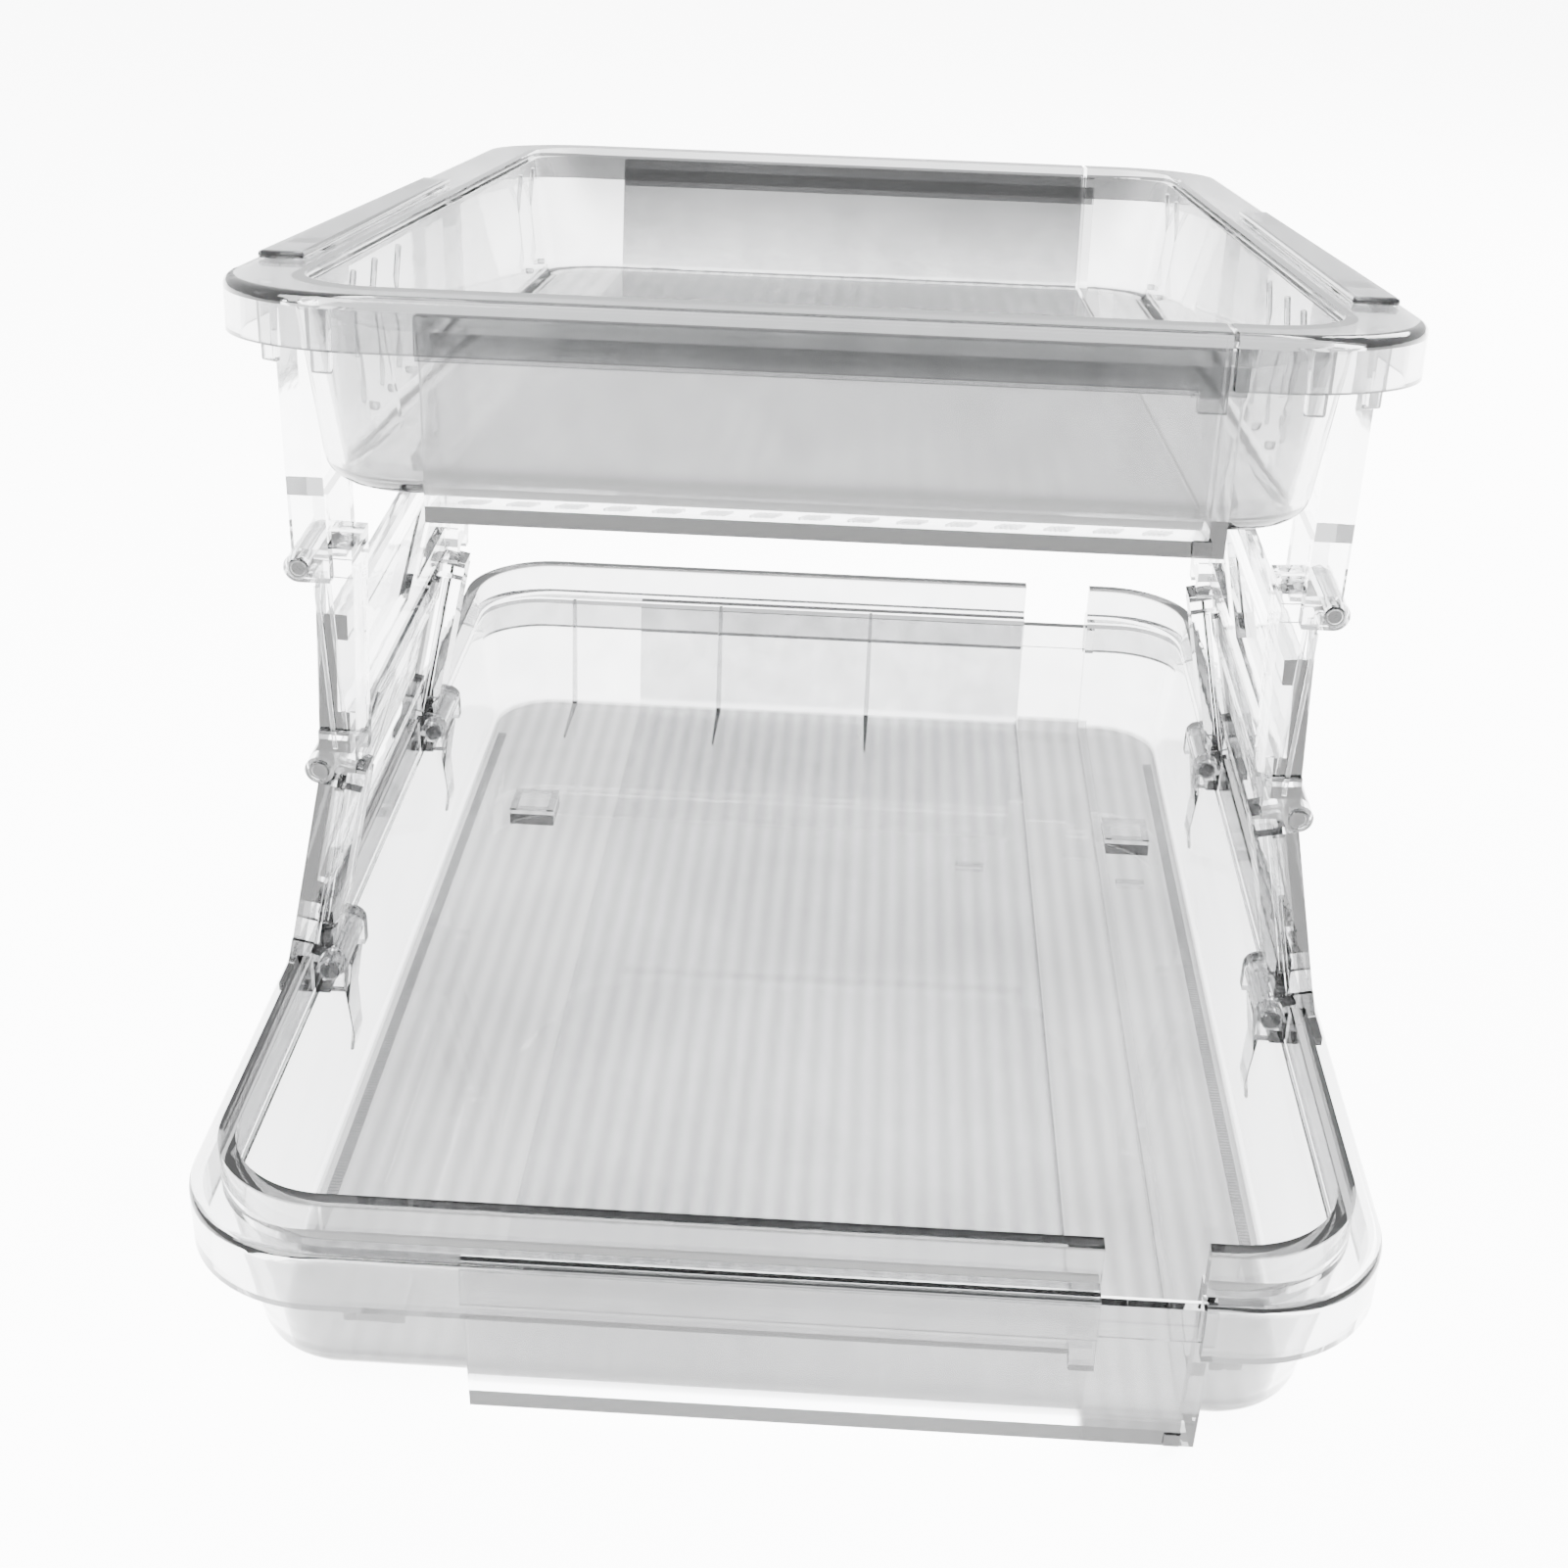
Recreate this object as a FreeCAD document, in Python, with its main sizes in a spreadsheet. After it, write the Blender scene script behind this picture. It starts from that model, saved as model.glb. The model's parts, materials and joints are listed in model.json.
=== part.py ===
import FreeCAD, Part
import math
import os
import Sketcher

# Folding shoe box: a lower tray and an upper tray, each made of two nesting halves that
# slide apart along X, joined at both sides by a two-panel frame that folds inwards at a knee.
# Frame: X across, Y from the front (-Y) to the back (+Y), Z up from the surface it stands on.
# The origin is on that surface, under the middle of the lower tray.

document = FreeCAD.newDocument("ShoeBox")
sheet = document.addObject("Spreadsheet::Sheet", "Sizes")

driving = [
    # trays
    ("trayDepth", 335.0),
    ("leftLength", 182.0),
    ("rightLength", 38.0),
    ("tongueLength", 143.0),
    ("upperGap", 1.0),
    ("lowerGap", 20.0),
    ("bodyDepth", 38.5),
    ("wall", 2.8),
    ("slideGap", 0.7),
    ("flangeRadius", 30.0),
    ("bodyRadius", 20.0),
    ("bottomFillet", 6.0),
    ("rimFillet", 2.0),
    ("lowerApron", 13.0),
    ("upperApron", 10.0),
    ("tongueApron", 8.0),
    ("lowerSideInset", 10.5),
    ("lowerFrontInset", 1.4),
    ("upperSideInset", 15.0),
    ("upperFrontInset", 3.6),
    ("sideDraft", 5.0),
    ("frontDraft", 4.0),
    ("curbHeight", 10.0),
    ("curbWidth", 3.5),
    ("curbFrontInset", 7.0),
    ("curbRadius", 22.0),
    ("footSide", 13.0),
    ("leftFootInset", 28.5),
    ("rightFootInset", 22.0),
    ("frontFootReach", 30.0),
    ("rearFootReach", 75.0),
    ("stopWidth", 5.0),
    ("stopDrop", 4.0),
    # where the upper tray stands: upperRise is from the top pivots to the level of its underside
    ("upperRise", 31.5),
    ("upperSetBack", 46.0),
    ("upperPitch", 7.2),
    # side frames
    ("frontHinge", 103.0),
    ("rearHinge", 225.0),
    ("pivotInset", 14.0),
    ("pivotLift", 6.0),
    ("linkLength", 49.0),
    ("lowerLean", 12.0),
    ("upperLean", 2.5),
    ("postWidth", 14.0),
    ("lowerPostThickness", 9.5),
    ("upperPostThickness", 8.0),
    ("railWidth", 6.0),
    ("ribThickness", 4.5),
    ("webThickness", 2.0),
    ("webLift", 8.0),
    ("webDrop", 16.0),
    ("diagonalWidth", 6.0),
    # hinges
    ("pinRadius", 1.5),
    ("pinFit", 0.05),
    ("openFit", 0.1),
    ("knuckleRadius", 3.2),
    ("knuckleHalf", 8.0),
    ("kneeKnuckleHalf", 4.0),
    ("lugThickness", 3.5),
    ("hingeGap", 0.5),
    ("basePlate", 2.0),
    ("lugOuterReach", 5.0),
    ("throat", 15.0),
    ("hangerDepth", 7.6),
    # plates on the upper rim
    ("rimPlateWidth", 9.0),
    ("rimPlateHeight", 1.6),
    ("rimPlateMargin", 16.0),
]
for row, (alias, value) in enumerate(driving, start=1):
    sheet.set("A" + str(row), alias)
    sheet.set("B" + str(row), str(value))
    sheet.setAlias("B" + str(row), alias)
document.recompute()


def cells(text):
    """Put the sheet's name before each alias in an expression."""
    words = []
    word = ""
    for letter in text + " ":
        if letter.isalnum():
            word += letter
        else:
            words.append("Sizes." + word if word in aliases else word)
            words.append(letter)
            word = ""
    return "".join(words).strip()


aliases = {alias for alias, value in driving}
nestStep = "(wall + slideGap)"
halfDepth = "(trayDepth / 2)"
lowerHalfWidth = "((leftLength + rightLength + lowerGap) / 2)"
upperHalfWidth = "((leftLength + rightLength + upperGap) / 2)"
flangeHeight = "(bodyDepth + " + nestStep + ")"
pivotX = "(" + lowerHalfWidth + " - pivotInset)"
baseHeight = "(" + flangeHeight + " + pivotLift)"
kneeHeight = "(" + baseHeight + " + linkLength)"
topHeight = "(" + kneeHeight + " + linkLength)"
frontY = "(frontHinge - " + halfDepth + ")"
rearY = "(rearHinge - " + halfDepth + ")"
upperY = "(upperSetBack - " + halfDepth + " + " + halfDepth + " * cos(upperPitch * 1 deg))"
upperZ = "(" + topHeight + " + upperRise + bodyDepth - " + halfDepth + " * sin(upperPitch * 1 deg))"
hingeYs = {"front": frontY, "rear": rearY}
lugHalf = "(knuckleHalf + hingeGap + lugThickness)"
subParts = []


def number(text):
    value = sheet.evalExpression(cells(text))
    return float(getattr(value, "Value", value))


def bind(feature, name, text):
    feature.setExpression(name, cells(text))


def newBody(name):
    body = document.addObject("PartDesign::Body", name)
    body.Label = name
    subParts.append(body)
    return body


def place(body, x="0", y="0", z="0"):
    bind(body, ".Placement.Base.x", x)
    bind(body, ".Placement.Base.y", y)
    bind(body, ".Placement.Base.z", z)


def turn(body, axis, angle):
    body.Placement = FreeCAD.Placement(FreeCAD.Vector(), FreeCAD.Rotation(axis, number(angle)))
    bind(body, ".Placement.Rotation.Angle", angle)


def originPlane(body, role):
    for feature in body.Origin.OriginFeatures:
        if feature.Role == role:
            return feature
    raise RuntimeError("no origin plane " + role)


def newSketch(body, name, role, offset="0"):
    sketch = body.newObject("Sketcher::SketchObject", name)
    sketch.AttachmentSupport = (originPlane(body, role), [""])
    sketch.MapMode = "FlatFace"
    bind(sketch, "AttachmentOffset.Base.z", offset)
    return sketch


def fix(sketch, kind, places, text):
    index = sketch.addConstraint(Sketcher.Constraint(kind, *places, number(text)))
    bind(sketch, "Constraints[" + str(index) + "]", text)


def drawPolygon(sketch, corners):
    points = [FreeCAD.Vector(number(x), number(y), 0) for x, y in corners]
    first = sketch.GeometryCount
    for start, end in zip(points, points[1:] + points[:1]):
        sketch.addGeometry(Part.LineSegment(start, end), False)
    count = len(points)
    for step in range(count):
        following = first + (step + 1) % count
        sketch.addConstraint(Sketcher.Constraint("Coincident", first + step, 2, following, 1))
    for step, (x, y) in enumerate(corners):
        fix(sketch, "DistanceX", (-1, 1, first + step, 1), x)
        fix(sketch, "DistanceY", (-1, 1, first + step, 1), y)


def sided(way, text):
    """The expression itself, or its mirror image on the other side."""
    return text if way > 0 else "-1 * (" + text + ")"


def ordered(way, inner, outer):
    pair = [sided(way, inner), sided(way, outer)]
    return pair if way > 0 else pair[::-1]


def drawRectangle(sketch, lowX, highX, lowY, highY):
    drawPolygon(sketch, [(lowX, lowY), (highX, lowY), (highX, highY), (lowX, highY)])


def drawCircle(sketch, x, y, radius):
    index = sketch.addGeometry(Part.Circle(FreeCAD.Vector(number(x), number(y), 0),
                                           FreeCAD.Vector(0, 0, 1), number(radius)), False)
    fix(sketch, "DistanceX", (-1, 1, index, 3), x)
    fix(sketch, "DistanceY", (-1, 1, index, 3), y)
    fix(sketch, "Radius", (index,), radius)


def drawEndOutline(sketch, way, openX, endX, halfY, radius):
    """A rectangle whose two corners at the closed end are round; way is +1 for a left half."""
    openX, endX = sided(way, openX), sided(way, endX)
    openAt, endAt = number(openX), number(endX)
    high, bend = number(halfY), number(radius)
    centreX = endAt + way * bend
    top = FreeCAD.Vector(0, 0, 1)

    def arc(centreY, middle):
        circle = Part.Circle(FreeCAD.Vector(centreX, centreY, 0), top, bend)
        return Part.ArcOfCircle(circle, middle - math.pi / 4, middle + math.pi / 4)

    towardsEnd = math.pi if way > 0 else 0
    turnDown = math.pi / 4 if way > 0 else -math.pi / 4
    lines = [((openAt, -high), (centreX, -high)), ((endAt, -high + bend), (endAt, high - bend)),
             ((centreX, high), (openAt, high)), ((openAt, high), (openAt, -high))]
    for start, end in lines:
        sketch.addGeometry(Part.LineSegment(FreeCAD.Vector(*start, 0), FreeCAD.Vector(*end, 0)), False)
    sketch.addGeometry(arc(-high + bend, towardsEnd + turnDown), False)
    sketch.addGeometry(arc(high - bend, towardsEnd - turnDown), False)
    near, far = (1, 2) if way > 0 else (2, 1)
    joints = [("Tangent", 0, 2, 4, far), ("Tangent", 1, 1, 4, near), ("Tangent", 1, 2, 5, far),
              ("Tangent", 2, 1, 5, near), ("Coincident", 2, 2, 3, 1), ("Coincident", 3, 2, 0, 1)]
    for joint in joints:
        sketch.addConstraint(Sketcher.Constraint(*joint))
    for kind, line in (("Horizontal", 0), ("Vertical", 1), ("Horizontal", 2), ("Vertical", 3)):
        sketch.addConstraint(Sketcher.Constraint(kind, line))
    sketch.addConstraint(Sketcher.Constraint("Equal", 4, 5))
    fix(sketch, "Radius", (4,), radius)
    fix(sketch, "DistanceX", (-1, 1, 3, 1), openX)
    fix(sketch, "DistanceX", (-1, 1, 1, 1), endX)
    fix(sketch, "DistanceY", (-1, 1, 0, 1), "-1 * " + halfY)
    fix(sketch, "DistanceY", (-1, 1, 2, 2), halfY)


def checkVolume(body, before, grows):
    document.recompute()
    volume = body.Shape.Volume
    if grows != (volume > before + 0.01):
        raise RuntimeError(body.Label + ": a feature changed nothing")
    return volume


def extrude(body, kind, name, sketch, length, reverse=False, middle=False):
    before = body.Shape.Volume if body.Tip else 0
    feature = body.newObject("PartDesign::" + kind, name)
    feature.Profile = sketch
    bind(feature, "Length", length)
    feature.Reversed = reverse
    if middle:
        feature.Midplane = True
    checkVolume(body, before, kind == "Pad")
    return feature


def loft(body, kind, name, sketches):
    before = body.Shape.Volume if body.Tip else 0
    feature = body.newObject("PartDesign::" + kind, name)
    feature.Profile = sketches[0]
    feature.Sections = sketches[1:]
    feature.Ruled = True
    checkVolume(body, before, kind == "AdditiveLoft")
    return feature


def filletEdges(body, name, radius, wanted):
    base = body.Tip
    chosen = []
    for index, edge in enumerate(base.Shape.Edges, start=1):
        ends = [vertex.Point for vertex in edge.Vertexes]
        if len(ends) == 2 and wanted(ends, edge):
            chosen.append("Edge" + str(index))
    if not chosen:
        raise RuntimeError(body.Label + ": no edges for " + name)
    feature = body.newObject("PartDesign::Fillet", name)
    feature.Base = (base, chosen)
    bind(feature, "Radius", radius)
    document.recompute()
    return feature


def buildShell(body, way, length, apron, sideInset, frontInset, curb):
    """The rim, drafted walls and floor of one half, closed at its outer end."""
    def outline(name, depth, side, front, radius, openX):
        sketch = newSketch(body, name, "XY_Plane", depth)
        drawEndOutline(sketch, way, openX, side, "(" + halfDepth + " - (" + front + "))", radius)
        return sketch

    past = "(" + length + " + 5)"
    outerSide = sideInset + " - wall"
    outerFront = frontInset + " - wall"
    rim = outline("RimOutline", "-1 * " + apron, "0.0", "0.0", "flangeRadius", length)
    extrude(body, "Pad", "Rim", rim, apron)
    under = outline("UnderRimOutline", "-1 * " + apron, "wall", "wall", "flangeRadius - wall", past)
    extrude(body, "Pocket", "UnderRim", under, apron + " - wall", reverse=True)
    filletEdges(body, "RimRound", "rimFillet", lambda ends, edge: all(
        abs(point.z) < 0.01 and not onOpenEnd(point, way, length) for point in ends))
    beyond = "(" + length + " + 3 * bottomFillet)"
    bodyTop = outline("BodyTop", "0", outerSide, outerFront, "bodyRadius", beyond)
    bodyBottom = outline("BodyBottom", "-1 * bodyDepth", outerSide + " + sideDraft",
                         outerFront + " + frontDraft", "bodyRadius", beyond)
    loft(body, "AdditiveLoft", "Walls", [bodyTop, bodyBottom])
    filletEdges(body, "BottomRound", "bottomFillet", lambda ends, edge: all(
        abs(point.z + number("bodyDepth")) < 0.01 for point in ends) and not all(
        onOpenEnd(point, way, beyond) for point in ends))
    trim = newSketch(body, "EndTrimOutline", "XY_Plane", "-1 * bodyDepth")
    lowX, highX = ordered(way, length, beyond + " + wall")
    drawRectangle(trim, lowX, highX, "-1 * " + halfDepth, halfDepth)
    extrude(body, "Pocket", "EndTrim", trim, "bodyDepth", reverse=True)
    if curb:
        curbOuter = outline("CurbOuter", "0", "lowerSideInset - curbWidth",
                            "curbFrontInset - curbWidth", "curbRadius + curbWidth", length)
        extrude(body, "Pad", "Curb", curbOuter, "curbHeight")
        curbInner = outline("CurbInner", "0", "lowerSideInset", "curbFrontInset", "curbRadius", past)
        extrude(body, "Pocket", "CurbOpening", curbInner, "curbHeight", reverse=True)


def hollowShell(body, way, length, sideInset, frontInset):
    """The tray's cavity, cut last so that nothing fills it again."""
    def outline(name, depth, side, front):
        sketch = newSketch(body, name, "XY_Plane", depth)
        drawEndOutline(sketch, way, "(" + length + " + 5)", side,
                       "(" + halfDepth + " - (" + front + "))", "bodyRadius - wall")
        return sketch

    cavityTop = outline("CavityTop", "0", sideInset, frontInset)
    cavityBottom = outline("CavityBottom", "wall - bodyDepth", sideInset + " + sideDraft",
                           frontInset + " + frontDraft")
    loft(body, "SubtractiveLoft", "Cavity", [cavityTop, cavityBottom])


def onOpenEnd(point, way, length):
    return abs(point.x - way * number(length)) < 0.01


def addTongue(body, frontInset):
    """The right half's tongue, which wraps the left half's walls and floor from outside."""
    outer = frontInset + " - wall - " + nestStep
    inner = frontInset + " - wall - slideGap"
    reach = "-1 * (rightLength + tongueLength)"
    root = "-1 * (rightLength - wall)"
    top = "-1 * " + nestStep

    def section(name, depth, front, endX):
        sketch = newSketch(body, name, "XY_Plane", depth)
        half = "(" + halfDepth + " - (" + front + "))"
        drawRectangle(sketch, reach if endX == root else reach + " - 5", endX, "-1 * " + half, half)
        return sketch

    bottom = "-1 * (bodyDepth + " + nestStep + ")"
    loft(body, "AdditiveLoft", "Tongue", [
        section("TongueTop", top, outer, root),
        section("TongueBottom", bottom, outer + " + frontDraft", root)])
    for name, side in (("Front", -1), ("Rear", 1)):
        edge = halfDepth + " - " + nestStep
        ledge = newSketch(body, name + "LedgeOutline", "XY_Plane", top + " - wall")
        lowY, highY = ordered(side, halfDepth + " - (" + inner + ")", edge)
        drawRectangle(ledge, reach, root, lowY, highY)
        extrude(body, "Pad", name + "Ledge", ledge, "wall")
        apron = newSketch(body, name + "ApronOutline", "XY_Plane", top + " - tongueApron")
        lowY, highY = ordered(side, edge + " - wall / 2", edge)
        drawRectangle(apron, reach, root, lowY, highY)
        extrude(body, "Pad", name + "TongueApron", apron, "tongueApron")
    junction = "-1 * rightLength"
    loft(body, "SubtractiveLoft", "TongueChannel", [
        section("ChannelTop", top, inner, junction),
        section("ChannelBottom", "-1 * (bodyDepth + slideGap)", inner + " + frontDraft", junction)])


def addFeet(body, way, inset):
    """Square feet that hold a half level with the tongue's underside."""
    sketch = newSketch(body, "FeetOutline", "XY_Plane", "-1 * " + flangeHeight)
    lowX, highX = ordered(way, inset, "(" + inset + " + footSide)")
    for side, reach in ((-1, "frontFootReach"), (1, "rearFootReach")):
        lowY, highY = ordered(side, halfDepth + " - " + reach + " - footSide", halfDepth + " - " + reach)
        drawRectangle(sketch, lowX, highX, lowY, highY)
    extrude(body, "Pad", "Feet", sketch, nestStep)


def buildLeftHalf(name, apron, sideInset, frontInset, lower):
    body = newBody(name)
    buildShell(body, 1, "leftLength", apron, sideInset, frontInset, lower)
    if lower:
        addFeet(body, 1, "leftFootInset")
        notchCurb(body, 1)
    hollowShell(body, 1, "leftLength", sideInset, frontInset)
    stop = newSketch(body, "StopOutline", "XY_Plane", "-1 * (" + apron + " + stopDrop)")
    drawRectangle(stop, "leftLength - stopWidth", "leftLength", "-1 * " + halfDepth,
                  "-1 * (" + halfDepth + " - wall)")
    extrude(body, "Pad", "SlideStop", stop, "stopDrop")
    return body


def buildRightHalf(name, apron, sideInset, frontInset, lower):
    body = newBody(name)
    buildShell(body, -1, "rightLength", apron, sideInset, frontInset, lower)
    addTongue(body, frontInset)
    if lower:
        addFeet(body, -1, "rightFootInset")
        notchCurb(body, -1)
    hollowShell(body, -1, "rightLength", sideInset, frontInset)
    return body


def notchCurb(body, way):
    """Gaps in the curb where the side frame's hinges sit."""
    sketch = newSketch(body, "HingeNotches", "XY_Plane", "curbHeight")
    lowX, highX = ordered(way, "lowerSideInset - curbWidth - hingeGap", "lowerSideInset + hingeGap")
    for hinge in hingeYs.values():
        drawRectangle(sketch, lowX, highX, hinge + " - " + lugHalf + " - hingeGap",
                      hinge + " + " + lugHalf + " + hingeGap")
    extrude(body, "Pocket", "CurbNotches", sketch, "curbHeight")


def placeUpper(body, x):
    turn(body, FreeCAD.Vector(1, 0, 0), "-1 * upperPitch")
    place(body, x, upperY, upperZ)


# The front and back walls stand inside three nested walls: the rim's, the tongue's and their own.
lowerSizes = ("lowerApron", "lowerSideInset", "(3 * wall + lowerFrontInset)", True)
upperSizes = ("upperApron", "upperSideInset", "(3 * wall + upperFrontInset)", False)
place(buildLeftHalf("lower_left_half", *lowerSizes), x="-1 * " + lowerHalfWidth, z=flangeHeight)
place(buildRightHalf("lower_right_half", *lowerSizes), x=lowerHalfWidth, z=flangeHeight)
placeUpper(buildLeftHalf("upper_left_half", *upperSizes), "-1 * " + upperHalfWidth)
placeUpper(buildRightHalf("upper_right_half", *upperSizes), upperHalfWidth)


# Side frames. In a panel's own frame X points along the pivots' offset, Z runs up the panel,
# and the panel leans by its Placement; outward is -X on the left and +X on the right.
def addPlate(body, name, way, face, thickness, outlines):
    """Pad outlines in the YZ plane from the panel's outer face inwards."""
    sketch = newSketch(body, name + "Outline", "YZ_Plane", sided(way, face))
    for corners in outlines:
        drawPolygon(sketch, corners)
    extrude(body, "Pad", name, sketch, thickness, reverse=way > 0)


def box(lowY, highY, lowZ, highZ):
    return [(lowY, lowZ), (highY, lowZ), (highY, highZ), (lowY, highZ)]


def addKnuckle(body, name, way, centreX, centreZ, arm, centreY, half):
    """A round knuckle on an arm, in the XZ plane, centred on centreY."""
    sketch = newSketch(body, name + "ArmOutline", "XZ_Plane", "-1 * (" + centreY + ")")
    lowX, highX = ordered(way, arm[0], arm[1])
    drawRectangle(sketch, lowX, highX, arm[2], arm[3])
    extrude(body, "Pad", name + "Arm", sketch, "2 * " + half, middle=True)
    barrel = newSketch(body, name + "Barrel", "XZ_Plane", "-1 * (" + centreY + ")")
    drawCircle(barrel, sided(way, centreX), centreZ, "knuckleRadius")
    extrude(body, "Pad", name + "Round", barrel, "2 * " + half, middle=True)


def drill(body, name, way, centreX, centreZ, radius):
    sketch = newSketch(body, name + "Circle", "XZ_Plane")
    drawCircle(sketch, sided(way, centreX), centreZ, radius)
    extrude(body, "Pocket", name, sketch, "trayDepth", middle=True)


def posts(lowZ, highZ):
    return [box(y + " - postWidth / 2", y + " + postWidth / 2", lowZ, highZ) for y in hingeYs.values()]


def buildLowerPanel(side, way):
    """Feet at the tray's hinges below, single knuckles at the knee above."""
    body = newBody(side + "_lower_panel")
    face = "linkLength * sin(lowerLean * 1 deg)"
    knee = "(linkLength * cos(lowerLean * 1 deg))"
    top = knee + " - knuckleRadius - hingeGap"
    addPlate(body, "Posts", way, face, "lowerPostThickness", posts("-1 * knuckleRadius", top))
    addPlate(body, "Web", way, face, "webThickness",
             [box(frontY, rearY, "webLift", top)])
    addPlate(body, "KneeRail", way, face, "ribThickness", [box(frontY, rearY, top + " - railWidth", top)])
    addPlate(body, "FootRail", way, face, "ribThickness",
             [box(frontY, rearY, "webLift", "webLift + railWidth")])
    middleY = "((" + frontY + " + " + rearY + ") / 2)"
    addPlate(body, "Diagonal", way, face, "ribThickness",
             [[(frontY, "webLift"), (frontY + " + diagonalWidth * 2", "webLift"),
               (middleY + " + diagonalWidth", top), (middleY + " - diagonalWidth", top)]])
    for name, y in hingeYs.items():
        addKnuckle(body, name.title() + "Foot", way, "0.0", "0.0",
                   ("0.0", face, "-1 * knuckleRadius", "knuckleRadius"), y, "knuckleHalf")
        addKnuckle(body, name.title() + "Knee", way, face, knee,
                   (face + " - lowerPostThickness", face, top + " - railWidth", knee), y, "kneeKnuckleHalf")
    drill(body, "BasePinHole", way, "0.0", "0.0", "pinRadius + pinFit")
    drill(body, "KneePinHole", way, face, knee, "pinRadius")
    turn(body, FreeCAD.Vector(0, 1, 0), "-1 * lowerLean" if way > 0 else "lowerLean")
    place(body, x=sided(way, pivotX), z=baseHeight)


def buildUpperPanel(side, way):
    """Paired knuckles at the knee below, single knuckles at the hangers above."""
    body = newBody(side + "_upper_panel")
    out = "linkLength * sin(upperLean * 1 deg)"
    top = "(linkLength * cos(upperLean * 1 deg))"
    low = "(knuckleRadius + hingeGap)"
    webTop = "(" + top + " - webDrop)"
    addPlate(body, "Posts", way, "0.0", "upperPostThickness", posts(low, top + " + knuckleRadius"))
    addPlate(body, "Web", way, "0.0", "webThickness", [box(frontY, rearY, low, webTop)])
    addPlate(body, "KneeRail", way, "0.0", "ribThickness", [box(frontY, rearY, low, low + " + railWidth")])
    addPlate(body, "TopRail", way, "0.0", "ribThickness",
             [box(frontY, rearY, webTop + " - railWidth", webTop)])
    middleY = "((" + frontY + " + " + rearY + ") / 2)"
    addPlate(body, "Diagonal", way, "0.0", "ribThickness",
             [[(middleY + " - diagonalWidth", low), (middleY + " + diagonalWidth", low),
               (rearY, webTop), (rearY + " - diagonalWidth * 2", webTop)]])
    for name, y in hingeYs.items():
        for part, offset in (("KneeA", " - "), ("KneeB", " + ")):
            centre = y + offset + "(kneeKnuckleHalf + hingeGap + lugThickness / 2)"
            addKnuckle(body, name.title() + part, way, "0.0", "0.0",
                       ("-1 * upperPostThickness", "0.0", "0.0", low + " + railWidth"),
                       centre, "(lugThickness / 2)")
        addKnuckle(body, name.title() + "Top", way, out, top,
                   ("-1 * upperPostThickness", out, top + " - knuckleRadius", top + " + knuckleRadius"),
                   y, "knuckleHalf")
    drill(body, "KneePinHole", way, "0.0", "0.0", "pinRadius + pinFit")
    drill(body, "TopPinHole", way, out, top, "pinRadius")
    turn(body, FreeCAD.Vector(0, 1, 0), "-1 * upperLean" if way > 0 else "upperLean")
    place(body, x=sided(way, pivotX), z=kneeHeight)


def lugPair(y):
    for sign in (" - ", " + "):
        yield y + sign + "(knuckleHalf + hingeGap + lugThickness / 2)"


def buildHingeBlock(side, way, name, y):
    """A foot plate on the tray's flange with two lugs for the base pin."""
    body = newBody(side + "_" + name + "_hinge_block")
    foot = newSketch(body, "FootOutline", "XY_Plane", "-1 * pivotLift")
    lowX, highX = ordered(way, "pivotInset - lowerSideInset - knuckleRadius", "pivotInset - rimFillet")
    drawRectangle(foot, lowX, highX, "-1 * " + lugHalf, lugHalf)
    extrude(body, "Pad", "Foot", foot, "basePlate")
    for label, centre in zip(("A", "B"), lugPair("0.0")):
        addKnuckle(body, "Lug" + label, way, "0.0", "0.0",
                   ("-1 * knuckleRadius", "lugOuterReach", "-1 * (pivotLift - hingeGap)", "0.0"),
                   centre, "(lugThickness / 2)")
    drill(body, "PinHole", way, "0.0", "0.0", "pinRadius")
    place(body, sided(way, pivotX), y, baseHeight)


def buildHanger(side, way, name, y):
    """Two lugs round the top pin, joined above a throat by a column up to the upper rim."""
    body = newBody(side + "_" + name + "_hanger")
    rise = "(" + upperZ + " + (" + y + " - " + upperY + ") * -1 * tan(upperPitch * 1 deg) - " + topHeight
    under = rise + " - wall / cos(upperPitch * 1 deg))"
    tilt = lugHalf + " * tan(upperPitch * 1 deg)"
    outer = "(" + pivotX + " - " + upperHalfWidth + " + wall + hingeGap)"
    reach = "(" + outer + " + hangerDepth)"
    column = newSketch(body, "ColumnOutline", "YZ_Plane", sided(way, "-1 * " + reach))
    drawPolygon(column, [("-1 * " + lugHalf, "throat"), (lugHalf, "throat"),
                         (lugHalf, under + " - " + tilt), ("-1 * " + lugHalf, under + " + " + tilt)])
    extrude(body, "Pad", "Column", column, "hangerDepth", reverse=way < 0)
    for label, centre in zip(("A", "B"), lugPair("0.0")):
        addKnuckle(body, "Lug" + label, way, "0.0", "0.0",
                   ("-1 * " + reach, "-1 * " + outer, "0.0", "throat + railWidth"),
                   centre, "(lugThickness / 2)")
        arm = newSketch(body, "Bridge" + label, "XZ_Plane", "-1 * (" + centre + ")")
        lowX, highX = ordered(way, "-1 * " + reach, "0.0")
        drawRectangle(arm, lowX, highX, "-1 * knuckleRadius", "knuckleRadius")
        extrude(body, "Pad", "BridgePad" + label, arm, "lugThickness", middle=True)
    drill(body, "PinHole", way, "0.0", "0.0", "pinRadius + " + ("openFit" if way > 0 else "pinFit"))
    place(body, sided(way, pivotX), y, topHeight)


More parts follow.
